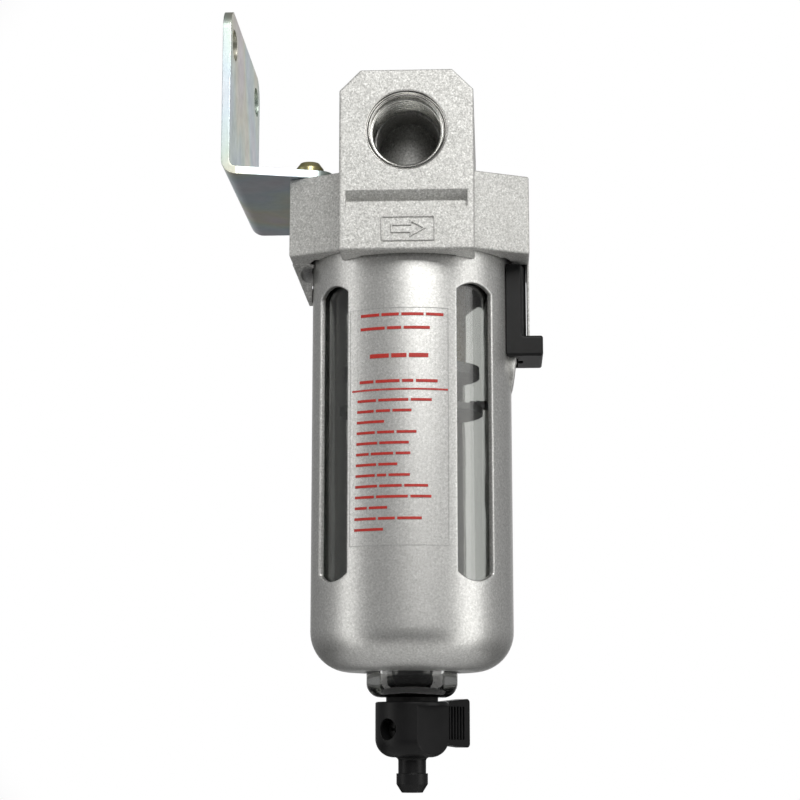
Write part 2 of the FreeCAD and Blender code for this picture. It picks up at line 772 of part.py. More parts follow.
def make_guard():
    inner = "guard_inner"
    hole = "bowl_neck_radius + neck_gap"
    shell = turned("guard_shell", [
        ("guard_radius", "-guard_top_drop"),
        ("guard_radius", "-guard_bottom_drop"),
        (hole, "-guard_bottom_drop"),
        (hole, "-guard_bottom_drop + guard_wall"),
        (inner, "-guard_bottom_drop + guard_wall"),
        (inner, "-guard_top_drop"),
    ])
    bottom = -SIZES["guard_bottom_drop"]
    wall = SIZES["guard_wall"]
    round_edges(shell, "guard_corner", circle_at(SIZES["guard_radius"], bottom))
    round_edges(shell, "guard_corner - guard_wall", circle_at(SIZES["guard_radius"] - wall, bottom + wall))

    tab_core = rod("tab_core", inner, ("-guard_top_drop - tab_height - 1", "0"))
    tabs = []
    for quarter in range(4):
        solid = sector(f"tab_{quarter}", "guard_radius + tab_reach",
                       ("-guard_top_drop - tab_height", "-guard_top_drop"),
                       f"{45 + 90 * quarter}", "tab_half_angle")
        tabs.append(solid)
    tab_ring = cut("tabs", join("tab_slices", *tabs), tab_core)

    boss_centre = "-boss_bottom_drop + boss_half_width"
    boss_box = box("boss_box", (inner, "boss_reach"), ("-boss_half_width", "boss_half_width"),
                   (boss_centre, "-boss_top_drop"))
    boss_end = bar("boss_end", "boss_half_width", (inner, "boss_reach"), "X", z=boss_centre)
    boss_core = rod("boss_core", "guard_radius - guard_wall / 2", ("-boss_bottom_drop - 1", "-boss_top_drop + 1"))
    boss = cut("boss", join("boss_blank", boss_box, boss_end), boss_core)
    channel_box = box("channel_box", ("channel_floor", "boss_reach + 1"),
                      ("-channel_half_width", "channel_half_width"), (boss_centre, "-boss_top_drop + 1"))
    channel_end = bar("channel_end", "channel_half_width", ("channel_floor", "boss_reach + 1"), "X", z=boss_centre)
    seat = box("spring_seat", ("channel_floor - 0.5", "boss_reach"),
               ("-channel_half_width - 0.5", "channel_half_width + 0.5"),
               ("-spring_bottom_drop - spring_seat", "-spring_bottom_drop"))
    windows = []
    half_width = "window_width / 2"
    for quarter in range(4):
        span = (f"{inner} - 6", "guard_radius + 4")
        top_centre = "-window_top_drop - window_end_radius"
        bottom_centre = "-window_bottom_drop + window_end_radius"
        ends = [
            bar(f"window_end_{quarter}_{k}", "window_end_radius", span, "X", z=centre)
            for k, centre in enumerate((top_centre, bottom_centre))
        ]
        middle = box(f"window_middle_{quarter}", span, ("-window_end_radius", "window_end_radius"),
                     (bottom_centre, top_centre))
        strip = box(f"window_strip_{quarter}", span, (f"-{half_width}", half_width),
                    ("-window_bottom_drop - 1", "-window_top_drop + 1"))
        window = overlap(f"window_{quarter}", join(f"window_blank_{quarter}", *ends, middle), strip)
        turn(window, f"{45 + 90 * quarter} - window_turn")
        windows.append(window)
    solid = cut("guard_cut", join("guard_blank", shell, tab_ring, boss), channel_box, channel_end, *windows)
    sub_part("bowl_guard", join("bowl_guard", solid, seat))


def make_bowl():
    hole = "stem_radius + stem_gap"
    groove = "bowl_radius - seal_groove_depth"
    shell = turned("bowl", [
        ("bowl_radius", "-bowl_top_drop"),
        ("bowl_radius", "-seal_drop + seal_groove_half"),
        (groove, "-seal_drop + seal_groove_half"),
        (groove, "-seal_drop - seal_groove_half"),
        ("bowl_radius", "-seal_drop - seal_groove_half"),
        ("bowl_radius", "-bowl_under_drop"),
        ("bowl_neck_radius", "-bowl_under_drop"),
        ("bowl_neck_radius", "-bowl_neck_drop"),
        (hole, "-bowl_neck_drop"),
        (hole, "-bowl_floor_drop"),
        ("bowl_inner", "-bowl_floor_drop"),
        ("bowl_inner", "-bowl_top_drop"),
    ])
    outer_corner = circle_at(measure("bowl_radius"), measure("-bowl_under_drop"))
    inner_corner = circle_at(measure("bowl_inner"), measure("-bowl_floor_drop"))
    neck_corner = circle_at(SIZES["bowl_neck_radius"], measure("-bowl_neck_drop"))
    round_edges(shell, "bowl_corner", outer_corner)
    round_edges(shell, "bowl_corner - bowl_wall", inner_corner)
    round_edges(shell, "bowl_neck_corner", neck_corner)
    sub_part("bowl", shell)


def make_bowl_seal():
    middle = "bowl_radius + bowl_clearance - seal_gap - seal_wire"
    sub_part("bowl_seal", ring("bowl_seal", middle, "seal_wire", "-seal_drop"))


def make_label():
    outer = rod("label_outer", "guard_radius + label_thickness", ("-label_end_drop", "-label_top_drop"))
    bind(outer, "Angle", "label_angle")
    turn(outer, "label_start - 90")
    inner = rod("label_inner", "guard_radius", ("-label_end_drop - 1", "-label_top_drop + 1"))
    sub_part("label_film", cut("label_film", outer, inner))


def make_lock_button():
    half = "button_half_width"
    top = "-button_top_drop"
    bottom = "-button_bottom_drop"
    under = f"{bottom} - 1"
    over = f"{top} + 1"
    key_low = f"{top} - 1"
    blank = overlap(
        "button_blank",
        box("button_box", ("guard_radius - 5", "button_side"), (f"-{half}", half), (bottom, top)),
        rod("button_barrel", "button_side", (bottom, top)))
    thumb = box("thumb", ("button_side - 2", "button_side + thumb_reach"), (f"-{half}", half),
                (bottom, "-thumb_top_drop"))
    key = overlap(
        "key",
        box("key_box", ("key_inner_radius", "key_outer_radius"), ("-key_half_width", "key_half_width"),
            (key_low, "key_top")),
        rod("key_round", "key_outer_radius", (key_low, "key_top")))
    guard_side = rod("button_guard_room", "guard_radius + button_gap", (under, over))
    boss_half = "(boss_half_width + button_gap)"
    boss_room = box("button_boss_room", ("guard_radius - 6", "boss_reach + button_gap"),
                    (f"-{boss_half}", boss_half), (under, top))
    pocket = box("spring_pocket", ("boss_reach", "spring_x + spring_radius + spring_pocket_gap"),
                 ("-spring_pocket_half", "spring_pocket_half"), (under, "-spring_top_drop"))
    rib = box("spring_rib", ("spring_x - spring_radius", "button_side - 1"),
              ("-spring_pocket_half", "spring_pocket_half"),
              ("-spring_top_drop", "-spring_top_drop + spring_seat"))
    outside = join("button_outside", blank, thumb)

    def outer_edge(edge):
        return edge.CenterOfMass.x > SIZES["guard_radius"]
    smooth = rounded_copy("button_smooth", outside, "button_round", outer_edge)
    hollow = cut("button_hollow", join("button_solid", smooth, key), guard_side, boss_room, pocket)
    sub_part("lock_button", join("lock_button", hollow, rib))


def make_lock_spring():
    """A coil with its ends inside the seat and rib planes."""
    wire = SIZES["spring_wire"]
    coil_length = SIZES["spring_length"] - 2 * wire
    radius = SIZES["spring_radius"] - wire
    path = Part.makeHelix(coil_length / SIZES["spring_turns"], coil_length, radius)
    start = FreeCAD.Vector(radius, 0, 0)
    section = Part.Wire(Part.makeCircle(wire, start, Y_AXIS))
    shape = Part.Wire(path.Edges).makePipeShell([section], True, True)
    spring = document.addObject("Part::Feature", "lock_spring")
    spring.Shape = shape
    move(spring, "spring_x", "0", "spring_wire - spring_bottom_drop")
    sub_part("lock_spring", spring)


# ---- air side internals -----------------------------------------------------------------

def make_deflector():
    """A ring of slanted vanes on a plate that the element's gasket seats on."""
    top = "deflector_top"
    bottom = "deflector_bottom"
    plate_top = f"{bottom} + deflector_plate"
    bore = "column_radius + inner_gap"
    plate = rod("deflector_plate", "deflector_radius", (bottom, plate_top))
    hub = rod("deflector_hub", "deflector_hub", (plate_top, top))
    vanes = []
    count = int(SIZES["vane_count"])
    for n in range(count):
        lean = f"({top} - ({plate_top})) * tan(vane_tilt) / 2"
        half = "vane_thickness / 2"
        corners = [
            (f"-({lean}) - {half}", f"{plate_top} - 0.5"),
            (f"-({lean}) + {half}", f"{plate_top} - 0.5"),
            (f"{lean} + {half}", top),
            (f"{lean} - {half}", top),
        ]
        blade = prism(f"vane_blade_{n}", "YZ", corners, "deflector_radius - deflector_hub")
        move(blade, "(deflector_radius + deflector_hub) / 2 - vane_root")
        room = rod(f"vane_room_{n}", "deflector_hub - 1", (f"{bottom} - 1", f"{top} + 1"))
        vane = cut(f"vane_{n}", blade, room)
        turn(vane, f"{n} * 360 / vane_count")
        vanes.append(vane)
    blank = join("deflector_blank", plate, hub, *vanes)
    bore_cut = rod("deflector_bore", bore, (f"{bottom} - 1", f"{top} + 1"))
    sub_part("deflector", cut("deflector", blank, bore_cut))


STACK = {}


def stack_heights():
    """Formulas for the top of each piece that hangs on the stud, from the deflector down."""
    z = "deflector_bottom"
    for name, height in (
            ("upper_gasket", "gasket_thickness"), ("element", "element_length"),
            ("lower_gasket", "gasket_thickness"), ("upper_baffle", "baffle_thickness"),
            ("spool", "spool_height"), ("lower_baffle", "lower_baffle_thickness"),
            ("nut", "nut_height")):
        STACK[name] = (f"{z} - {height}", z)
        z = f"{z} - {height}"
    STACK["end"] = z


def tube(name, radius, bore, z_range):
    outer = rod(f"{name}_outer", radius, z_range)
    inner = rod(f"{name}_inner", bore, (f"{z_range[0]} - 1", f"{z_range[1]} + 1"))
    return cut(name, outer, inner)


def make_stack():
    """Gaskets, element, baffles, nut and stud, hung from the body's centre web."""
    stud_hole = "stud_radius + inner_gap"
    for end in ("upper", "lower"):
        name = f"element_gasket_{end}"
        bore = "column_radius + inner_gap" if end == "upper" else "element_bore"
        sub_part(name, tube(name, "element_radius", bore, STACK[f"{end}_gasket"]))
    sub_part("filter_element", tube("filter_element", "element_radius", "element_bore", STACK["element"]))

    spool_low, spool_high = STACK["spool"]
    upper = join("upper_baffle_blank",
                 rod("upper_disc", "baffle_radius", STACK["upper_baffle"]),
                 rod("spool", "spool_radius", (spool_low, spool_high)))
    bore = rod("upper_baffle_bore", stud_hole, (f"{spool_low} - 1", f"{STACK['upper_baffle'][1]} + 1"))
    sub_part("baffle_upper", cut("baffle_upper", upper, bore))

    low, high = STACK["lower_baffle"]
    disc = rod("lower_disc", "lower_baffle_radius", (low, high))
    hooks = []
    for n in range(int(SIZES["hook_count"])):
        hook_reach = ("lower_baffle_radius - hook_inset - hook_thickness", "lower_baffle_radius - hook_inset")
        hook = box(f"hook_{n}", hook_reach,
                   ("-hook_length / 2", "hook_length / 2"), (f"{high} - hook_inset", f"{high} + hook_height"))
        turn(hook, f"{n} * 360 / hook_count")
        hooks.append(hook)
    blank = join("lower_baffle_blank", disc, *hooks)
    bore = rod("lower_baffle_bore", stud_hole, (f"{low} - 1", f"{high} + 1"))
    sub_part("baffle_lower", cut("baffle_lower", blank, bore))

    nut_low, nut_high = STACK["nut"]
    nut = cut("baffle_nut", hexagon("baffle_nut_blank", "nut_flats", (nut_low, nut_high)),
              rod("baffle_nut_bore", "stud_radius + thread_gap", (f"{nut_low} - 1", f"{nut_high} + 1")))
    sub_part("baffle_nut", nut)
    stud = rod("element_stud", "stud_radius", (f"{STACK['end']} - stud_spare", "-stud_top_drop"))
    sub_part("element_stud", stud)


# ---- drain cock -------------------------------------------------------------------------

def across(name, radius, span):
    """A cylinder along the drain plug's own axis, before the cock is turned."""
    return bar(name, radius, span, "X", z="-plug_drop")


def cock_turned(thing):
    """Turn a piece of the cock about the bowl axis, from its +X to the lever's direction."""
    turn(thing, "90 - drain_turn")
    return thing


def make_drain_body():
    shell = turned("drain_shell", [
        ("stem_bore", "-stem_top_drop"),
        ("stem_radius", "-stem_top_drop"),
        ("stem_radius", "-drain_top_drop"),
        ("drain_radius", "-drain_top_drop"),
        ("drain_radius", "-drain_shoulder_drop"),
        ("barb_neck_radius", "-drain_shoulder_drop"),
        ("barb_neck_radius", "-barb_ledge_drop"),
        ("barb_radius", "-barb_ledge_drop"),
        ("barb_radius", "-barb_chamfer_drop"),
        ("barb_end_radius", "-barb_end_drop"),
        ("barb_bore", "-barb_end_drop"),
        ("barb_bore", "-plug_drop"),
        ("stem_bore", "-plug_drop"),
    ])
    low = measure("-drain_shoulder_drop")
    top = measure("-drain_top_drop")
    shoulder_round = "drain_radius - barb_neck_radius - 1.3 * barb_root_round"
    round_edges(shell, shoulder_round, circle_at(SIZES["drain_radius"], low))
    round_edges(shell, "barb_root_round", circle_at(SIZES["barb_neck_radius"], low))
    round_edges(shell, "drain_edge_round", circle_at(SIZES["drain_radius"], top))
    flats = []
    for quarter in range(4):
        flat = box(f"drain_flat_{quarter}", ("drain_flat_distance", "drain_radius + 1"),
                   ("-drain_radius", "drain_radius"), ("-drain_shoulder_drop - 1", "-drain_flat_top_drop"))
        turn(flat, f"{90 * quarter}")
        flats.append(flat)
    bore = across("plug_bore", "plug_radius + plug_fit", ("-drain_radius - 1", "drain_radius + 1"))
    sub_part("drain_body", cock_turned(cut("drain_body", shell, *flats, bore)))


def make_drain_lever():
    half = "lever_thickness / 2"
    corners = [
        ("lever_start", "-lever_drop - lever_root_height / 2"),
        ("lever_end", "-lever_drop - lever_tip_height / 2"),
        ("lever_end", "-lever_drop + lever_tip_height / 2"),
        ("lever_start", "-lever_drop + lever_root_height / 2"),
    ]
    wing = prism("lever_wing", "XZ", corners, "lever_thickness")

    def upright_corner(edge):
        return edge.BoundBox.YLength > SIZES["lever_thickness"] - 1
    round_edges(wing, "lever_corner", upright_corner)
    rim = "lever_rim"
    slots = []
    count = int(SIZES["lever_rib_count"])
    first = f"lever_start + 1.5 * {rim}"
    pitch = f"((lever_end - 2 * {rim} - lever_start - {rim}) / lever_rib_count)"
    reach = f"lever_root_height / 2 - {rim}"
    for side in (-1, 1):
        face = {-1: (f"-{half} - 1", f"-{half} + lever_face_depth"),
                1: (f"{half} - lever_face_depth", f"{half} + 1")}[side]
        for n in range(count):
            left = f"{first} + {n} * {pitch}"
            slots.append(box(f"lever_slot_{side + 1}_{n}", (left, f"{left} + lever_slot_share * {pitch}"), face,
                             (f"-lever_drop - ({reach})", f"-lever_drop + ({reach})")))
    sub_part("drain_lever", cock_turned(cut("drain_lever", wing, *slots)))


def make_drain_plug():
    shaft = across("plug_shaft", "plug_radius", ("-plug_back", "lever_start"))
    drain_way = rod("plug_way", "barb_bore", ("-plug_drop - plug_radius - 1", "-plug_drop + plug_radius + 1"))
    screw_hole = across("plug_screw_hole", "lever_screw_radius + thread_gap",
                        ("-plug_back - 1", "-plug_back + lever_screw_length + 0.5"))
    places_along = [f"{side} * plug_seal_place" for side in (-1, 1)]
    grooves = []
    for n, place in enumerate(places_along):
        half = "plug_groove_width / 2"
        groove = across(f"plug_groove_{n}", "plug_radius + 1", (f"{place} - {half}", f"{place} + {half}"))
        core = across(f"plug_groove_core_{n}", "plug_radius - plug_groove_depth",
                      (f"{place} - plug_groove_width", f"{place} + plug_groove_width"))
        grooves.append(cut(f"plug_groove_ring_{n}", groove, core))
    sub_part("drain_plug", cock_turned(cut("drain_plug", shaft, drain_way, screw_hole, *grooves)))

    wire = "((plug_groove_depth + plug_fit) / 2 - plug_seal_gap)"
    rings = []
    for n, place in enumerate(places_along):
        seal = document.addObject("Part::Torus", f"plug_seal_{n}")
        bind(seal, "Radius1", f"plug_radius + plug_fit - plug_seal_gap - {wire}")
        bind(seal, "Radius2", wire)
        seal.Placement.Rotation = FreeCAD.Rotation(Z_AXIS, X_AXIS)
        move(seal, place, "0", "-plug_drop")
        rings.append(seal)
    sub_part("plug_seals", cock_turned(join("plug_seals", *rings)))


def make_lever_screw():
    head_back = "-plug_back - lever_screw_head_height"
    head = across("lever_screw_head", "lever_screw_head", (head_back, "-plug_back"))
    shank = across("lever_screw_shank", "lever_screw_radius", ("-plug_back", "-plug_back + lever_screw_length"))
    blank = join("lever_screw_blank", head, shank)
    slots = [
        box(f"lever_screw_slot_{n}", (f"{head_back} - 1", f"{head_back} + 0.8"),
            (f"-{a}", a), (f"-plug_drop - {b}", f"-plug_drop + {b}"))
        for n, (a, b) in enumerate((("1.6", "0.35"), ("0.35", "1.6")))
    ]
    sub_part("lever_screw", cock_turned(cut("lever_screw", blank, *slots)))


def make_drain_fixings():
    """Collar below the bowl neck, gasket and nut inside the bowl."""
    stem = "stem_radius + thread_gap"
    collar = tube("drain_collar", "collar_radius", stem, ("-drain_top_drop", "-bowl_neck_drop"))
    sub_part("drain_collar", collar)
    floor = "-bowl_floor_drop"
    gasket_top = f"{floor} + gasket_thickness"
    sub_part("drain_gasket", tube("drain_gasket", "drain_gasket_radius", stem, (floor, gasket_top)))
    nut_top = f"{gasket_top} + drain_nut_height"
    nut = cut("drain_nut", hexagon("drain_nut_blank", "drain_nut_flats", (gasket_top, nut_top)),
              rod("drain_nut_bore", stem, (f"{gasket_top} - 1", f"{nut_top} + 1")))
    sub_part("drain_nut", nut)


def check_document():
    """Stop if any object failed or any sub-part has no sound solid."""
    failed = [o.Name for o in document.Objects if {"Invalid", "Error"} & set(o.State)]
    if failed:
        raise RuntimeError(f"failed objects: {failed}")
    for thing in sub_parts:
        shape = thing.Shape
        if shape.isNull() or not shape.isValid() or not shape.Solids:
            raise RuntimeError(f"unsound sub-part: {thing.Label}")


def write_steps():
    os.makedirs("parts", exist_ok=True)
    for thing in sub_parts:
        thing.Shape.exportStep(f"parts/{thing.Label}.step")


make_sheet()
stack_heights()
make_body()
make_bracket()
make_bracket_screws()
make_guard()
make_bowl()
make_bowl_seal()
make_label()
make_lock_button()
make_lock_spring()
make_deflector()
make_stack()
make_drain_body()
make_drain_lever()
make_drain_plug()
make_lever_screw()
make_drain_fixings()
document.recompute()
check_document()
write_steps()
for thing in sub_parts:
    print(thing.Label, round(thing.Shape.Volume, 1), len(thing.Shape.Solids))
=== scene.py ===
import json
import math

import bpy
import numpy as np
from mathutils import Matrix, Vector


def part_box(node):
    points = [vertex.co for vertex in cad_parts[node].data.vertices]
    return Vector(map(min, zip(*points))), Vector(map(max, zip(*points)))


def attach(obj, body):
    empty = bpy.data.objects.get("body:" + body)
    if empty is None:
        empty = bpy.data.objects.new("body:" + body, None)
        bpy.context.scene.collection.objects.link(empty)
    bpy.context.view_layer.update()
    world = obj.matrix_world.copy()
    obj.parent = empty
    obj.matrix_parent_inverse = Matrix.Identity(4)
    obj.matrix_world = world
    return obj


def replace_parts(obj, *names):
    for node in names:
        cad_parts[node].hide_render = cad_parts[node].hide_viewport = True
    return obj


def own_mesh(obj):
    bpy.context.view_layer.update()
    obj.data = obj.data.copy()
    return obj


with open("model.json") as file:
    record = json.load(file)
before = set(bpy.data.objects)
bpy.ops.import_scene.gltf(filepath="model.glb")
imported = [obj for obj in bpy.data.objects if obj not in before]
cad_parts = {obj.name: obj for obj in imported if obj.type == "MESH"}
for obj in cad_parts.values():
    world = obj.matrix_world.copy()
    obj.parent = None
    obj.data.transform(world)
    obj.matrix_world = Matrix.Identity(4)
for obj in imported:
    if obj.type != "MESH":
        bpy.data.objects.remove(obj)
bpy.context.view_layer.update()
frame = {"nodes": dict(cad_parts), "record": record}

# Places and sizes read from the frame, in metres.
MOUNTS = {m["name"]: m for m in frame["record"]["mounts"]}
PORT_PLACE = Vector(MOUNTS["inlet_port"]["pos_m"])
THREAD_RADIUS = MOUNTS["inlet_port"]["dims"]["r_mm"] / 1000
THREAD_LENGTH = MOUNTS["inlet_port"]["dims"]["length_mm"] / 1000
BOWL_LOW, BOWL_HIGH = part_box("bowl")
AXIS_X = (BOWL_LOW.x + BOWL_HIGH.x) / 2
AXIS_Y = (BOWL_LOW.y + BOWL_HIGH.y) / 2
PORT_Z = PORT_PLACE.z
BODY_LOW, BODY_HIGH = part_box("body")
LABEL_LOW, LABEL_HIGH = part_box("label_film")
GUARD_LOW, GUARD_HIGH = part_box("bowl_guard")
BUTTON_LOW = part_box("lock_button")[0]
MM = 0.001
RING_PITCH = 0.9 * MM
THREAD_START = (BODY_HIGH.y - BODY_LOW.y) / 2 - THREAD_LENGTH
WINDOW_TOP = PORT_Z - 42.2 * MM
WINDOW_BOTTOM = GUARD_LOW.z + 24.6 * MM
WINDOW_ANGLE = 41.2
BOSS_TOP = PORT_Z - 35.8 * MM
NECK_RADIUS = 13.2 * MM
BOWL_RADIUS = 27.3 * MM
BOWL_WALL = 3.0 * MM
GUARD_RADIUS = 29.5 * MM
GUARD_WALL = 1.6 * MM
RAIL_FOOT = 28.2 * MM
RAIL_CREST = 31.3 * MM
LABEL_LEFT, LABEL_RIGHT = -34, 23


# ---- materials --------------------------------------------------------------------------

class Finish:
    """A material's node tree with short names for the nodes that the finishes use."""

    def __init__(self, name):
        self.material = bpy.data.materials.new(name)
        self.material.use_nodes = True
        self.tree = self.material.node_tree
        self.shader = self.tree.nodes["Principled BSDF"]
        self.place = self.tree.nodes.new("ShaderNodeTexCoord").outputs["Object"]

    def node(self, kind, **settings):
        node = self.tree.nodes.new(kind)
        for key, value in settings.items():
            setattr(node, key, value)
        return node

    def link(self, source, target):
        self.tree.links.new(source, target)

    def put(self, socket, value):
        """Connect a socket, or set it where the value is plain."""
        if isinstance(value, bpy.types.NodeSocket):
            self.link(value, socket)
        else:
            socket.default_value = value

    def set(self, **values):
        """Set or connect the shader's sockets, named with _ for a space."""
        for key, value in values.items():
            self.put(self.shader.inputs[key.replace("_", " ")], value)

    def noise(self, size, detail=2.0, roughness=0.5, stretch=(1, 1, 1)):
        """Noise whose grains are about size metres across."""
        mapping = self.node("ShaderNodeMapping")
        mapping.inputs["Scale"].default_value = stretch
        self.link(self.place, mapping.inputs["Vector"])
        node = self.node("ShaderNodeTexNoise")
        self.link(mapping.outputs["Vector"], node.inputs["Vector"])
        node.inputs["Scale"].default_value = 1 / size
        node.inputs["Detail"].default_value = detail
        node.inputs["Roughness"].default_value = roughness
        return node.outputs["Fac"]

    def grains(self, size):
        """Cells about size metres across, each with its own grey."""
        node = self.node("ShaderNodeTexVoronoi")
        self.link(self.place, node.inputs["Vector"])
        node.inputs["Scale"].default_value = 1 / size
        spread = self.node("ShaderNodeSeparateColor")
        self.link(node.outputs["Color"], spread.inputs["Color"])
        return spread.outputs["Red"]

    def ramp(self, source, *stops):
        """A colour ramp; each stop is a place and a colour or a grey."""
        node = self.node("ShaderNodeValToRGB")
        self.link(source, node.inputs["Fac"])
        elements = node.color_ramp.elements
        while len(elements) < len(stops):
            elements.new(1.0)
        for element, (place, colour) in zip(elements, stops):
            grey = isinstance(colour, (int, float))
            element.position = place
            element.color = (colour, colour, colour, 1) if grey else (*colour, 1)
        return node.outputs["Color"]

    def math(self, operation, first, second=0.0):
        node = self.node("ShaderNodeMath", operation=operation)
        self.put(node.inputs[0], first)
        self.put(node.inputs[1], second)
        return node.outputs[0]

    def mix(self, factor, first, second, blend="MIX"):
        """Mix two colours."""
        node = self.node("ShaderNodeMix", data_type="RGBA", blend_type=blend)
        self.put(node.inputs["Factor"], factor)
        for socket, value in ((node.inputs[6], first), (node.inputs[7], second)):
            self.put(socket, (*value, 1) if isinstance(value, tuple) else value)
        return node.outputs[2]

    def blend_values(self, factor, first, second):
        """Mix two plain values."""
        node = self.node("ShaderNodeMix", data_type="FLOAT")
        self.put(node.inputs["Factor"], factor)
        self.put(node.inputs[2], first)
        self.put(node.inputs[3], second)
        return node.outputs[0]

    def bump(self, height, depth, strength=1.0, under=None):
        """Relief of the given depth in metres."""
        node = self.node("ShaderNodeBump")
        node.inputs["Distance"].default_value = depth
        node.inputs["Strength"].default_value = strength
        self.link(height, node.inputs["Height"])
        if under is not None:
            self.link(under, node.inputs["Normal"])
        return node.outputs["Normal"]

    def parts(self):
        """X, Y and Z of the place on the object."""
        node = self.node("ShaderNodeSeparateXYZ")
        self.link(self.place, node.inputs["Vector"])
        return node.outputs

    def distance_from_port_axis(self):
        x, _, z = self.parts()
        dx = self.math("SUBTRACT", x, AXIS_X)
        dz = self.math("SUBTRACT", z, PORT_Z)
        squares = self.math("ADD", self.math("MULTIPLY", dx, dx), self.math("MULTIPLY", dz, dz))
        return self.math("SQRT", squares)

    def distance_along_ports(self):
        """How far along the ports from the bowl axis, either way."""
        return self.math("ABSOLUTE", self.math("SUBTRACT", self.parts()[1], AXIS_Y))

    def round_edges(self, radius):
        """A normal that rounds sharp edges by this radius."""
        node = self.node("ShaderNodeBevel", samples=6)
        node.inputs["Radius"].default_value = radius
        return node.outputs["Normal"]


def cast_paint():
    """Silver paint over a sandy die casting, machined bright round the ports, with painted shade darkening the
    bores beyond the machined part.
    """
    f = Finish("cast_paint")
    sand = f.noise(0.0005, detail=4, roughness=0.7)
    fleck = f.grains(0.00045)
    cloud = f.noise(0.012, detail=3)
    base = f.ramp(sand, (0.34, (0.30, 0.30, 0.285)), (0.50, (0.56, 0.56, 0.535)), (0.66, (0.84, 0.84, 0.81)))
    base = f.mix(0.30, base, f.ramp(fleck, (0.0, 0.25), (0.8, 0.60), (1.0, 1.0)))
    base = f.mix(0.15, base, f.ramp(cloud, (0.35, 0.5), (0.65, 0.72)))
    reach = f.distance_from_port_axis()
    in_bore = f.math("LESS_THAN", reach, THREAD_RADIUS + 1.33 * MM)
    machined = f.math("MULTIPLY", in_bore, f.math("GREATER_THAN", f.distance_along_ports(), THREAD_START))
    # Painted shade: within the bore radius the colour is pulled 15% towards dark grey, standing in for shade in
    # the port recesses.
    base = f.mix(in_bore, base, f.mix(0.15, base, (0.10, 0.10, 0.095)))
    rings = f.math("SINE", f.math("MULTIPLY", f.distance_along_ports(), 2 * math.pi / RING_PITCH))
    f.set(
        Base_Color=f.mix(machined, base, (0.78, 0.77, 0.74)),
        Metallic=f.blend_values(machined, 0.55, 1.0),
        Roughness=f.blend_values(machined, f.blend_values(sand, 0.62, 0.40), 0.24),
        Normal=f.bump(f.blend_values(machined, sand, rings), 0.00014, 0.6, f.round_edges(0.0005)),
    )
    return f.material


def guard_paint():
    """Silver metallic paint with a fine sparkle, smoother than the casting."""
    f = Finish("guard_paint")
    sand = f.noise(0.0006, detail=3, roughness=0.65)
    fleck = f.grains(0.0004)
    streak = f.noise(0.01, detail=2, stretch=(1, 1, 0.15))
    base = f.ramp(sand, (0.32, (0.50, 0.50, 0.48)), (0.50, (0.66, 0.66, 0.64)), (0.68, (0.84, 0.84, 0.82)))
    base = f.mix(0.28, base, f.ramp(fleck, (0.0, 0.40), (0.85, 0.66), (1.0, 1.0)))
    base = f.mix(0.10, base, f.ramp(streak, (0.35, 0.55), (0.65, 0.75)))
    f.set(
        Base_Color=base,
        Metallic=0.85,
        Roughness=f.blend_values(sand, 0.44, 0.33),
        Normal=f.bump(sand, 0.00006, 0.45, f.round_edges(0.0004)),
    )
    return f.material


def clear_plastic():
    """Clear moulded polycarbonate with faint flow lines."""
    f = Finish("clear_plastic")
    flow = f.noise(0.006, detail=2, stretch=(1, 1, 0.2))
    f.set(
        Base_Color=(0.66, 0.67, 0.65, 1),
        Roughness=f.ramp(flow, (0.3, 0.02), (0.7, 0.07)),
        IOR=1.56,
        Transmission_Weight=1.0,
        Normal=f.bump(flow, 0.0003, 0.15),
    )
    return f.material


def black_plastic():
    """Black moulded plastic with a satin spark-eroded skin."""
    f = Finish("black_plastic")
    skin = f.noise(0.00035, detail=3)
    cloud = f.noise(0.008, detail=2)
    f.set(
        Base_Color=f.ramp(cloud, (0.3, (0.005, 0.005, 0.0055)), (0.7, (0.010, 0.010, 0.0105))),
        Specular_IOR_Level=0.22,
        Roughness=f.blend_values(skin, 0.50, 0.32),
        Normal=f.bump(skin, 0.00003, 0.5, f.round_edges(0.0004)),
    )
    return f.material


def grey_plastic():
    """Grey moulded plastic."""
    f = Finish("grey_plastic")
    cloud = f.noise(0.004, detail=3)
    skin = f.noise(0.0004)
    f.set(
        Base_Color=f.ramp(cloud, (0.3, (0.30, 0.31, 0.32)), (0.7, (0.36, 0.37, 0.38))),
        Roughness=0.45,
        Normal=f.bump(skin, 0.00003, 0.4, f.round_edges(0.0003)),
    )
    return f.material


def filter_media():
    """Sintered beige grains."""
    f = Finish("filter_media")
    grain = f.grains(0.0006)
    rough = f.noise(0.0008, detail=3)
    f.set(
        Base_Color=f.ramp(
            grain, (0.0, (0.60, 0.49, 0.33)), (0.6, (0.78, 0.68, 0.50)), (1.0, (0.88, 0.80, 0.64))),
        Roughness=0.9,
        Normal=f.bump(rough, 0.0003, 0.7),
    )
    return f.material


def rubber():
    """Matt black rubber with a dusty bloom."""
    f = Finish("rubber")
    bloom = f.noise(0.002, detail=3)
    f.set(
        Base_Color=f.ramp(bloom, (0.4, (0.012, 0.012, 0.012)), (0.8, (0.035, 0.035, 0.035))),
        Roughness=0.75,
        Normal=f.bump(bloom, 0.00005, 0.3),
    )
    return f.material


def zinc_plate(name, tints, roughness):
    """Passivated zinc: bright metal whose hue drifts in broad soft bands, with a fine rolled grain."""
    f = Finish(name)
    drift = f.noise(0.028, detail=2, roughness=0.45, stretch=(1, 0.9, 0.5))
    rolled = f.noise(0.0006, detail=3, stretch=(1, 1, 0.12))
    scuff = f.noise(0.004, detail=4, roughness=0.7)
    places = (0.30, 0.42, 0.50, 0.58, 0.70)
    base = f.ramp(drift, *zip(places, tints))
    base = f.mix(0.15, base, f.ramp(scuff, (0.35, 0.45), (0.65, 0.8)))
    f.set(
        Base_Color=base,
        Metallic=1.0,
        Roughness=f.blend_values(scuff, roughness + 0.12, roughness - 0.08),
        Normal=f.bump(rolled, 0.00003, 0.4, f.round_edges(0.0003)),
    )
    return f.material


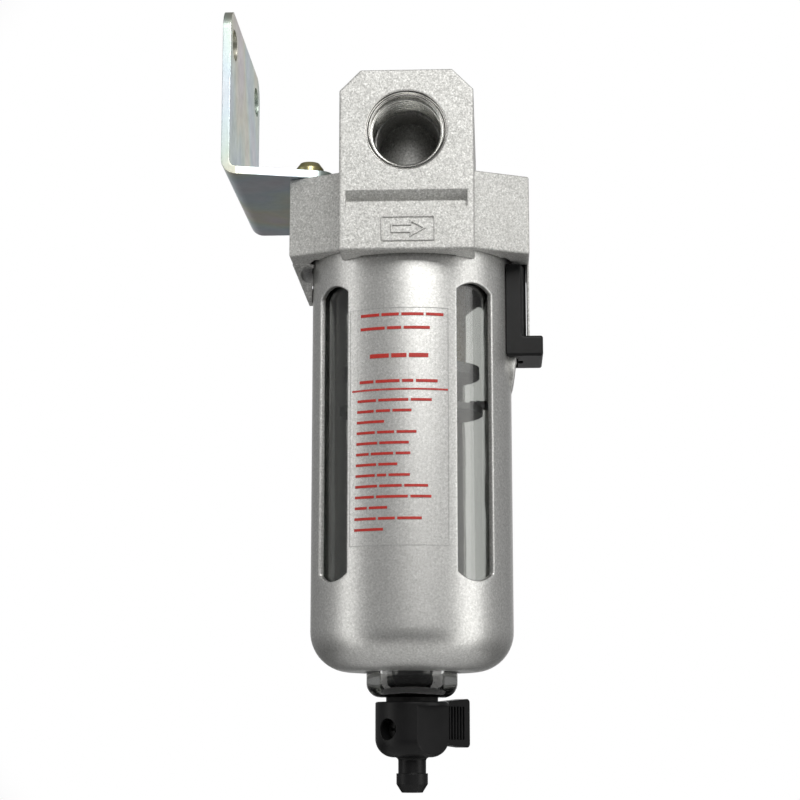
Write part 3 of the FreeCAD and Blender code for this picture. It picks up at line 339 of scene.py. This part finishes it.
def spring_wire():
    """Bright drawn wire."""
    f = Finish("spring_wire")
    drawn = f.noise(0.0003, detail=2)
    f.set(
        Base_Color=f.ramp(drawn, (0.3, 0.45), (0.7, 0.62)),
        Metallic=1.0,
        Roughness=0.3,
    )
    return f.material


def clear_film():
    """Thin clear film of the label."""
    f = Finish("clear_film")
    dust = f.noise(0.003, detail=3)
    f.set(
        Base_Color=f.ramp(dust, (0.3, 0.70), (0.7, 0.80)),
        Roughness=0.22,
        Alpha=0.05,
    )
    return f.material


def machined_metal():
    """Bright turned metal."""
    f = Finish("machined_metal")
    turned = f.noise(0.0008, detail=3, stretch=(1, 6, 1))
    f.set(
        Base_Color=f.ramp(turned, (0.3, (0.60, 0.60, 0.57)), (0.7, (0.78, 0.78, 0.75))),
        Metallic=1.0,
        Roughness=f.blend_values(turned, 0.34, 0.22),
    )
    return f.material


def black_steel():
    """Near-black screw steel."""
    f = Finish("black_steel")
    skin = f.noise(0.0005, detail=2)
    f.set(Base_Color=f.ramp(skin, (0.3, 0.015), (0.7, 0.03)), Metallic=0.6, Roughness=0.45)
    return f.material


def red_ink():
    """Red print on clear film."""
    f = Finish("red_ink")
    wear = f.noise(0.0006, detail=2)
    f.set(Base_Color=f.ramp(wear, (0.3, (0.40, 0.015, 0.01)), (0.7, (0.52, 0.03, 0.02))), Roughness=0.5)
    return f.material


def film_edge():
    """The pale cut edge of the film."""
    f = Finish("film_edge")
    wear = f.noise(0.001, detail=2)
    f.set(Base_Color=f.ramp(wear, (0.3, 0.36), (0.7, 0.5)), Roughness=0.3)
    return f.material


BLUISH = (
    (0.62, 0.60, 0.66), (0.52, 0.62, 0.68), (0.56, 0.66, 0.60), (0.66, 0.65, 0.52), (0.64, 0.58, 0.62))
YELLOWISH = (
    (0.42, 0.40, 0.14), (0.56, 0.50, 0.20), (0.50, 0.42, 0.18), (0.44, 0.46, 0.20), (0.58, 0.50, 0.30))

FINISHES = {
    "cast_aluminium": cast_paint(),
    "guard_silver": guard_paint(),
    "polycarbonate": clear_plastic(),
    "black_plastic": black_plastic(),
    "grey_plastic": grey_plastic(),
    "filter_media": filter_media(),
    "rubber": rubber(),
    "zinc_steel": zinc_plate("zinc_steel", BLUISH, 0.34),
    "yellow_zinc": zinc_plate("yellow_zinc", YELLOWISH, 0.30),
    "spring_steel": spring_wire(),
    "label_film": clear_film(),
    "machined_metal": machined_metal(),
    "black_steel": black_steel(),
    "red_ink": red_ink(),
    "film_edge": film_edge(),
}


def dress_nodes():
    """Give every CAD node the finish of its slot."""
    for part in frame["record"]["subparts"]:
        node = frame["nodes"][part["node"]]
        finish = FINISHES[part["material_slot"]]
        if not node.material_slots:
            node.data.materials.append(finish)
        for slot in node.material_slots:
            slot.material = finish


# ---- meshes -----------------------------------------------------------------------------
# Angles are in degrees about the bowl axis, from the inlet side towards the lock button.

def place(radius, angle, height):
    """Points on circles about the bowl axis: x = r sin a, y = -r cos a, z = height."""
    r, a, z = np.broadcast_arrays(radius, np.radians(angle), height)
    return np.stack([AXIS_X + r * np.sin(a), AXIS_Y - r * np.cos(a), z], axis=-1)


def mesh_piece(name, points, faces, body, slot, smooth=True):
    """One piece from arrays of points and faces, riding on a CAD body."""
    mesh = bpy.data.meshes.new(name)
    mesh.from_pydata(np.asarray(points, float).reshape(-1, 3).tolist(), [], [list(face) for face in faces])
    mesh.polygons.foreach_set("use_smooth", np.full(len(mesh.polygons), smooth))
    mesh.materials.append(FINISHES[slot])
    piece = bpy.data.objects.new(name, mesh)
    bpy.context.scene.collection.objects.link(piece)
    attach(piece, body)
    return piece


def grid_faces(rows, columns, close_rows=False, close_columns=False):
    """Quads of a rows by columns grid of points, wrapped round where a direction is closed."""
    row = np.arange(rows if close_rows else rows - 1)
    column = np.arange(columns if close_columns else columns - 1)
    i, j = (a.ravel() for a in np.meshgrid(row, column, indexing="ij"))
    i_next, j_next = (i + 1) % rows, (j + 1) % columns
    quads = (i * columns + j, i_next * columns + j, i_next * columns + j_next, i * columns + j_next)
    return np.stack(quads, axis=1)


def rounded(corners, steps=8):
    """A closed outline whose corners are arcs. A corner is two coordinates and a radius; its arc
    touches both sides at radius times the tangent of half the turn, and swings through the turn."""
    corners = np.asarray(corners, float)
    points, radii = corners[:, :2], corners[:, 2]
    after = np.roll(points, -1, axis=0) - points
    after /= np.linalg.norm(after, axis=1, keepdims=True)
    before = np.roll(after, 1, axis=0)
    turn = np.arctan2(before[:, 0] * after[:, 1] - before[:, 1] * after[:, 0], (before * after).sum(axis=1))
    outline = []
    for point, radius, way, angle in zip(points, radii, before, turn):
        if radius == 0:
            outline.append(point[None])
            continue
        side = np.sign(angle)
        start = point - way * radius * abs(np.tan(angle / 2))
        normal = np.array([-way[1], way[0]]) * side
        swing = np.linspace(0, angle, steps + 1)[:, None]
        outline.append(start + normal * radius * (1 - np.cos(swing)) + way * radius * np.sin(np.abs(swing)))
    return np.concatenate(outline)


def lathe(name, outline, body, slot, segments=192):
    """An outline of radius and height carried once round the bowl axis. The outline runs down
    the outside and up the inside, so that the faces look outwards."""
    angle = np.linspace(0, 360, segments, endpoint=False)
    points = place(outline[:, :1], angle[None], outline[:, 1:])
    faces = grid_faces(len(outline), segments, close_rows=True, close_columns=True)
    return mesh_piece(name, points, faces, body, slot)


def arc_blocks(name, blocks, body, slot, columns=10):
    """Curved blocks about the bowl axis. Each row is start and end angle, inner and outer radius,
    bottom and top; a block is its four long edges swept through its angle, with capped ends."""
    start, end, inner, outer, low, high = (column[:, None, None] for column in np.asarray(blocks, float).T)
    angle = start + (end - start) * np.linspace(0, 1, columns)[None, None]
    radius = np.concatenate([outer, outer, inner, inner], axis=1)
    height = np.concatenate([high, low, low, high], axis=1)
    points = place(radius, angle, height)
    one = grid_faces(4, columns, close_rows=True)
    edge = np.arange(4) * columns
    one = np.concatenate([one, edge[None], edge[None, ::-1] + columns - 1])
    faces = (one[None] + np.arange(len(blocks))[:, None, None] * 4 * columns).reshape(-1, 4)
    return mesh_piece(name, points, faces, body, slot, smooth=False)


def raised_outline(loop, width, depth, side, body_face):
    """A low rib round a closed loop on a port face: the loop pushed out and in by half the width
    along its mitred normals, at the face and, a little narrower, at the rib's height."""
    loop = np.asarray(loop, float)
    ahead = np.roll(loop, -1, axis=0) - loop
    ahead /= np.linalg.norm(ahead, axis=1, keepdims=True)
    behind = np.roll(ahead, 1, axis=0)
    normal = np.stack([ahead[:, 1] + behind[:, 1], -ahead[:, 0] - behind[:, 0]], axis=1)
    normal /= (1 + (ahead * behind).sum(axis=1, keepdims=True))
    rings = []
    for push, height in ((0.5, -0.5), (0.3, 1.0), (-0.3, 1.0), (-0.5, -0.5)):
        flat = loop + normal * width * push
        y = np.full(len(loop), body_face + side * depth * height)
        rings.append(np.stack([AXIS_X + flat[:, 0], y, PORT_Z + flat[:, 1]], axis=1))
    faces = grid_faces(4, len(loop), close_rows=True, close_columns=True)
    return np.stack(rings), faces if side > 0 else faces[:, ::-1]


def gather(parts):
    """Join several pairs of points and faces into one pair."""
    points, faces, count = [], [], 0
    for some_points, some_faces in parts:
        flat = np.asarray(some_points).reshape(-1, 3)
        points.append(flat)
        faces += [[index + count for index in face] for face in np.asarray(some_faces).tolist()]
        count += len(flat)
    return np.concatenate(points), faces


def finish_edges(piece, width):
    """Round a piece's sharp edges with a narrow bevel and even out its shading."""
    bevel = piece.modifiers.new("edge_bevel", "BEVEL")
    bevel.width = width
    bevel.segments = 2
    bevel.limit_method = "ANGLE"
    bevel.angle_limit = math.radians(35)
    piece.modifiers.new("even_shading", "WEIGHTED_NORMAL")


# ---- pieces -----------------------------------------------------------------------------

def row(axis_height):
    """A height above the port axis, given in millimetres, as a height in the frame."""
    return PORT_Z + axis_height * MM


def make_guard():
    """The guard's wall as one skin with a thickness: each column of the grid runs down from the
    top edge to a window's arched end, past the window or beside it, and round the bottom corner.
    The arch drops from the window's top by R - sqrt(R^2 - s^2), s being the distance from its middle."""
    radius, corner, arch, half = GUARD_RADIUS, 11.5 * MM, 10.3 * MM, 6.45 * MM
    half_angle = math.degrees(math.asin(half / radius))
    window = np.linspace(-half_angle, half_angle, 25)
    pillar = np.linspace(half_angle, 90 - half_angle, 49)[1:-1]
    quarter = np.concatenate([window, pillar])
    inside = np.concatenate([np.ones(len(window)), np.zeros(len(pillar))])
    angle = WINDOW_ANGLE + np.concatenate([quarter + 90 * n for n in range(4)])
    open_column = np.tile(np.concatenate([np.ones(len(window) - 1), np.zeros(len(pillar) + 1)]), 4)
    s = np.where(inside > 0, radius * np.sin(np.radians(quarter)), half)
    drop = np.tile(arch - np.sqrt(arch ** 2 - s ** 2), 4)
    top, bottom = GUARD_HIGH.z, GUARD_LOW.z
    arch_top = WINDOW_TOP - drop
    arch_bottom = WINDOW_BOTTOM + drop
    t = np.linspace(0, 1, 9)[:, None]
    rows = [top + (arch_top - top) * t]
    t = np.linspace(0, 1, 27)[1:, None]
    rows.append(arch_top + (arch_bottom - arch_top) * t)
    t = np.linspace(0, 1, 9)[1:, None]
    rows.append(arch_bottom + (bottom + corner - arch_bottom) * t)
    height = np.concatenate(rows)
    reach = np.full_like(height, radius)
    bend = np.radians(np.linspace(0, 90, 15)[1:, None]) * np.ones_like(angle)
    height = np.concatenate([height, bottom + corner - corner * np.sin(bend)])
    reach = np.concatenate([reach, radius - corner + corner * np.cos(bend)])
    flat = np.linspace(radius - corner, NECK_RADIUS + 0.6 * MM, 6)[1:, None] * np.ones_like(angle)
    height = np.concatenate([height, np.full_like(flat, bottom)])
    reach = np.concatenate([reach, flat])
    points = place(reach, angle[None], height)
    faces = grid_faces(len(height), len(angle), close_columns=True)
    line, column = faces[:, 0] // len(angle), faces[:, 0] % len(angle)
    in_window = (line >= 8) & (line < 34) & (open_column[column] > 0)
    guard = mesh_piece("guard_shell", points, faces[~in_window], "bowl_guard", "guard_silver")
    wall = guard.modifiers.new("wall", "SOLIDIFY")
    wall.thickness = GUARD_WALL
    wall.offset = -1
    wall.use_even_offset = True
    finish_edges(guard, 0.35 * MM)
    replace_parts(guard, "bowl_guard")
    first_tab, half_tab = 135, 20
    tabs = [(first_tab + 90 * n - half_tab, first_tab + 90 * n + half_tab, 29.3 * MM, 30.8 * MM,
             top - 3.5 * MM, top) for n in range(4)]
    arc_blocks("guard_tabs", tabs, "bowl_guard", "guard_silver", columns=24)


def make_guard_rail():
    """The U-shaped rail round the lock spring's channel: a round-edged section carried down one
    side, round a half circle and up the other. It stands lower towards its foot, as the square
    root of the height above it."""
    middle, centre = 5.8 * MM, BOSS_TOP - 28.2 * MM
    half_width, crest_round = 1.2 * MM, 0.6 * MM
    bend = np.radians(np.linspace(180, 360, 33))
    y = np.concatenate([np.full(12, -middle), middle * np.cos(bend), np.full(12, middle)])
    z = np.concatenate([np.linspace(BOSS_TOP, centre, 13)[:-1], centre + middle * np.sin(bend),
                        np.linspace(centre, BOSS_TOP, 13)[1:]])
    side = np.concatenate([np.tile([-1.0, 0.0], (12, 1)), np.stack([np.cos(bend), np.sin(bend)], axis=1),
                           np.tile([1.0, 0.0], (12, 1))])
    section = rounded([(-half_width, RAIL_FOOT, 0), (-half_width, RAIL_CREST, crest_round),
                       (half_width, RAIL_CREST, crest_round), (half_width, RAIL_FOOT, 0)], steps=5)
    across, out = section[:, :1], section[:, 1:]
    fade = 0.3 + 0.7 * np.sqrt(np.clip((z - z.min()) / (2 * middle), 0, 1))
    points = np.stack([
        AXIS_X + RAIL_FOOT + (out - RAIL_FOOT) * fade[None],
        AXIS_Y + y[None] + across * side[:, 0][None],
        z[None] + across * side[:, 1][None]], axis=-1)
    faces = grid_faces(len(section), len(y), close_rows=True).tolist()
    ends = np.arange(len(section)) * len(y)
    faces += [ends.tolist(), (ends[::-1] + len(y) - 1).tolist()]
    rail = mesh_piece("guard_rail", points, faces, "bowl_guard", "guard_silver")
    rail.modifiers.new("even_shading", "WEIGHTED_NORMAL")
    seat = (90 - 10, 90 + 10, 28.6 * MM, 31.2 * MM, BUTTON_LOW.z - 0.2 * MM, BUTTON_LOW.z + 1.0 * MM)
    arc_blocks("spring_seat", [seat], "bowl_guard", "guard_silver", columns=8)


def make_lock_spring():
    """The lock spring: a round wire carried along a helix, z = pitch times turns, with the wire's
    circle laid out on the helix's outward and upward directions."""
    low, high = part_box("lock_spring")
    wire, turns, sides = 0.22 * MM, 6, 10
    centre = (low + high) / 2
    coil = (high.y - low.y) / 2 - wire
    t = np.linspace(0, turns, turns * 40 + 1)
    a = 2 * np.pi * t[None]
    ring = np.linspace(0, 2 * np.pi, sides, endpoint=False)[:, None]
    reach = coil + wire * np.cos(ring)
    rise = low.z + wire + (high.z - low.z - 2 * wire) * t[None] / turns
    points = np.stack([centre.x + reach * np.cos(a), centre.y + reach * np.sin(a),
                       rise + wire * np.sin(ring)], axis=-1)
    faces = grid_faces(sides, len(t), close_rows=True)[:, ::-1].tolist()
    ends = np.arange(sides) * len(t)
    faces += [ends[::-1].tolist(), (ends + len(t) - 1).tolist()]
    spring = mesh_piece("spring_coil", points, faces, "bowl_guard", "spring_steel")
    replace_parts(spring, "lock_spring")
    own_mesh(spring)


def make_bowl():
    """The clear bowl: wall, round bottom corner and neck turned about the axis."""
    outer, inner = BOWL_RADIUS, BOWL_RADIUS - BOWL_WALL
    under = GUARD_LOW.z + 2.1 * MM
    floor = under + 4 * MM
    hole = 6.05 * MM
    outline = rounded([
        (outer, BOWL_HIGH.z, 0.5 * MM), (outer, under, 10 * MM), (NECK_RADIUS, under, 0.5 * MM),
        (NECK_RADIUS, BOWL_LOW.z, 4.2 * MM), (hole, BOWL_LOW.z, 0), (hole, floor, 0),
        (inner, floor, 7 * MM), (inner, BOWL_HIGH.z, 0.5 * MM)], steps=10)
    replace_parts(lathe("bowl_wall", outline, "bowl_guard", "polycarbonate"), "bowl")


def make_threads():
    """Pipe thread ridges: a low trapezium carried along a helix, y = pitch times turns, on the
    wall of each port."""
    pitch, turns, steps = 1.814 * MM, 6.2, 72
    section = np.array([(-0.86, 10.62), (-0.12, 9.62), (0.12, 9.62), (0.86, 10.62)]) * MM
    t = np.linspace(0, turns, int(turns * steps))
    for name, side in (("inlet_thread", -1), ("outlet_thread", 1)):
        face = BODY_LOW.y if side < 0 else BODY_HIGH.y
        y = face - side * (2.1 * MM + pitch * t)
        fade = np.clip(np.minimum(t, turns - t) * 4, 0.08, 1)
        radius = section[0, 1] + (section[:, 1:] - section[0, 1]) * fade[None]
        a = 2 * np.pi * t[None]
        points = np.stack([
            AXIS_X + radius * np.sin(a), y[None] + section[:, :1] + 0 * a,
            PORT_Z + radius * np.cos(a)], axis=-1)
        faces = grid_faces(4, len(t), close_rows=True).tolist()
        ends = np.arange(4) * len(t)
        faces += [ends.tolist(), (ends[::-1] + len(t) - 1).tolist()]
        mesh_piece(name, points, faces, "body", "machined_metal")


def make_port_marks():
    """A framed outline arrow on each port face, in place of a cast mark."""
    frame_loop = rounded([(-7 * MM, -25.6 * MM, 0.5 * MM), (8 * MM, -25.6 * MM, 0.5 * MM),
                          (8 * MM, -32.5 * MM, 0.5 * MM), (-7 * MM, -32.5 * MM, 0.5 * MM)], steps=4)
    arrow = np.array([(-4.2, -28.0), (1.2, -28.0), (1.2, -26.9), (5.2, -29.05), (1.2, -31.2),
                      (1.2, -30.1), (-4.2, -30.1)]) * MM
    for name, side, face in (("inlet_mark", -1, BODY_LOW.y), ("outlet_mark", 1, BODY_HIGH.y)):
        mirror = np.array([-side, 1.0])
        loops = [loop * mirror for loop in (frame_loop, arrow)]
        if side > 0:
            loops = [loop[::-1] for loop in loops]
        ribs = [raised_outline(loop, 0.70 * MM, 0.35 * MM, side, face) for loop in loops]
        mesh_piece(name, *gather(ribs), "body", "cast_aluminium", smooth=False)


def make_label_print():
    """Plain bars where lines of print would be: each line is cut into words, and the whole
    print leans by a small angle for each millimetre down."""
    lean, width = 0.05, 29.62
    first_line = -52.6
    lines = [(first_line, -26.8, 21.5, 0.85), (-56.5, -26.8, 14.0, 0.85),
             (-64.5, -20.5, 13.5, 1.2), (-71.8, -26.5, 19.0, 0.85)]
    ends = (16, 5, -10, 8, 4, 5, -2, 5, 15, 17, -7, 12, -9)
    lines += [(-77.2 - 3.04 * n, -27.6, end, 0.75) for n, end in enumerate(ends)]
    blocks = []
    for n, (height, start, end, tall) in enumerate(lines):
        words = max(1, round((end - start) / 13))
        cuts = np.linspace(start, end, words + 1)
        cuts[1:-1] += 2.2 * np.sin(5.0 * n + 3.0 * np.arange(1, words))
        shift = lean * (height - first_line)
        for left, right in zip(cuts[:-1], cuts[1:]):
            blocks.append((left + shift, right + shift - 1.3, height - tall / 2, height + tall / 2))
    blocks.append((-32.3, 22.6, -74.45, -73.9))
    blocks = np.array(blocks)
    ones = np.ones(len(blocks))
    rows = np.stack([blocks[:, 0], blocks[:, 1], ones * (width - 0.03) * MM, ones * (width + 0.03) * MM,
                     row(blocks[:, 2]), row(blocks[:, 3])], axis=1)
    arc_blocks("label_print", rows, "bowl_guard", "red_ink", columns=8)
    low, high = LABEL_LOW.z, LABEL_HIGH.z
    thin, r0, r1 = 0.12 * MM, (width - 0.02) * MM, (width + 0.02) * MM
    side = 0.2
    edge = [(LABEL_LEFT, LABEL_RIGHT, r0, r1, high - thin, high),
            (LABEL_LEFT, LABEL_RIGHT, r0, r1, low, low + thin),
            (LABEL_LEFT, LABEL_LEFT + side, r0, r1, low, high),
            (LABEL_RIGHT - side, LABEL_RIGHT, r0, r1, low, high)]
    arc_blocks("label_edge", edge, "bowl_guard", "film_edge", columns=30)


# ---- studio -----------------------------------------------------------------------------

CAMERA_PLACE = Vector((AXIS_X + 0.02394, AXIS_Y - 0.55889, PORT_Z - 0.17198))
CAMERA_YAW = math.radians(-2.81)
CAMERA_PITCH = math.radians(10.12)
CAMERA_LENS = 86.25
FLOOR_DROP = 0.45
FLOOR_RADIUS = 0.6
WARM = (1.0, 0.99, 0.965)
WORLD_LOW = 0.02
WORLD_HIGH = 0.24


def make_camera():
    """A camera below the object that looks slightly up along +Y."""
    look = Vector((math.sin(CAMERA_YAW) * math.cos(CAMERA_PITCH),
                   math.cos(CAMERA_YAW) * math.cos(CAMERA_PITCH),
                   math.sin(CAMERA_PITCH)))
    right = Vector((math.cos(CAMERA_YAW), -math.sin(CAMERA_YAW), 0))
    up = right.cross(look)
    data = bpy.data.cameras.new("camera")
    data.sensor_width = 36
    data.lens = CAMERA_LENS
    data.clip_start = 0.01
    camera = bpy.data.objects.new("camera", data)
    bpy.context.scene.collection.objects.link(camera)
    turn = Matrix((right, up, -look)).transposed().to_4x4()
    camera.matrix_world = Matrix.Translation(CAMERA_PLACE) @ turn
    bpy.context.scene.camera = camera


def soft_box(name, azimuth, elevation, distance, size, power):
    """An area light that faces the object; azimuth 0 is the camera's side, + to the right."""
    a, e = math.radians(azimuth), math.radians(elevation)
    centre = Vector((AXIS_X, AXIS_Y, PORT_Z - 0.08))
    away = Vector((math.sin(a) * math.cos(e), -math.cos(a) * math.cos(e), math.sin(e)))
    data = bpy.data.lights.new(name, "AREA")
    data.shape = "RECTANGLE"
    data.size, data.size_y = size
    data.energy = power
    data.color = WARM
    light = bpy.data.objects.new(name, data)
    bpy.context.scene.collection.objects.link(light)
    light.location = centre + away * distance
    light.rotation_mode = "QUATERNION"
    light.rotation_quaternion = away.to_track_quat("Z", "Y")


def make_world():
    """A dim grey surround with a white wall behind the object, darker below."""
    world = bpy.data.worlds.new("studio")
    world.use_nodes = True
    nodes, links = world.node_tree.nodes, world.node_tree.links
    background = nodes["Background"]
    place = nodes.new("ShaderNodeTexCoord").outputs["Generated"]
    parts = nodes.new("ShaderNodeSeparateXYZ")
    links.new(place, parts.inputs[0])

    def step(source, low, high, from_value, to_value):
        node = nodes.new("ShaderNodeMapRange")
        node.interpolation_type = "SMOOTHSTEP"
        for name, value in (("From Min", low), ("From Max", high), ("To Min", from_value), ("To Max", to_value)):
            node.inputs[name].default_value = value
        links.new(source, node.inputs["Value"])
        return node.outputs["Result"]

    towards = nodes.new("ShaderNodeVectorMath")
    towards.operation = "DOT_PRODUCT"
    towards.inputs[1].default_value = (0, math.cos(CAMERA_PITCH), math.sin(CAMERA_PITCH))
    links.new(place, towards.inputs[0])
    wall_edge, wall_full = math.cos(math.radians(24)), math.cos(math.radians(17.5))
    wall = step(towards.outputs["Value"], wall_edge, wall_full, 0.0, 1.0)
    surround = step(parts.outputs["Z"], -0.5, 0.1, WORLD_LOW, WORLD_HIGH)
    mix = nodes.new("ShaderNodeMix")
    links.new(wall, mix.inputs["Factor"])
    links.new(surround, mix.inputs[2])
    mix.inputs[3].default_value = 1.0
    links.new(mix.outputs[0], background.inputs["Strength"])
    background.inputs["Color"].default_value = (1, 1, 1, 1)
    bpy.context.scene.world = world


def make_floor():
    """A plain pale disc well below the object."""
    rings, spokes = 3, 64
    radius = np.linspace(0.0, FLOOR_RADIUS, rings)[1:]
    angle = np.linspace(0, 2 * np.pi, spokes, endpoint=False)
    r, a = np.meshgrid(radius, angle, indexing="ij")
    z = np.full_like(r, GUARD_LOW.z - FLOOR_DROP)
    points = np.stack([AXIS_X + r * np.cos(a), AXIS_Y + r * np.sin(a), z], axis=-1).reshape(-1, 3)
    centre = len(points)
    points = np.vstack([points, [AXIS_X, AXIS_Y, GUARD_LOW.z - FLOOR_DROP]])
    faces = grid_faces(rings - 1, spokes, close_columns=True).tolist()
    faces += [[centre, i, (i + 1) % spokes] for i in range(spokes)]
    mesh = bpy.data.meshes.new("floor")
    mesh.from_pydata(points.tolist(), [], faces)
    f = Finish("floor_paper")
    f.set(Base_Color=f.ramp(f.noise(0.05), (0.4, 0.78), (0.6, 0.80)), Roughness=0.9)
    mesh.materials.append(f.material)
    floor = bpy.data.objects.new("floor", mesh)
    bpy.context.scene.collection.objects.link(floor)


bpy.context.scene.view_settings.view_transform = "Standard"
make_camera()
make_world()
make_floor()
soft_box("left_strip", -72, -8, 0.9, (0.30, 1.6), 2.6)
soft_box("right_box", 70, -8, 0.9, (0.46, 1.6), 4.4)
soft_box("front_box", 14, 34, 1.1, (0.7, 0.6), 8.5)
dress_nodes()
make_guard()
make_guard_rail()
make_bowl()
make_lock_spring()
make_threads()
make_port_marks()
make_label_print()
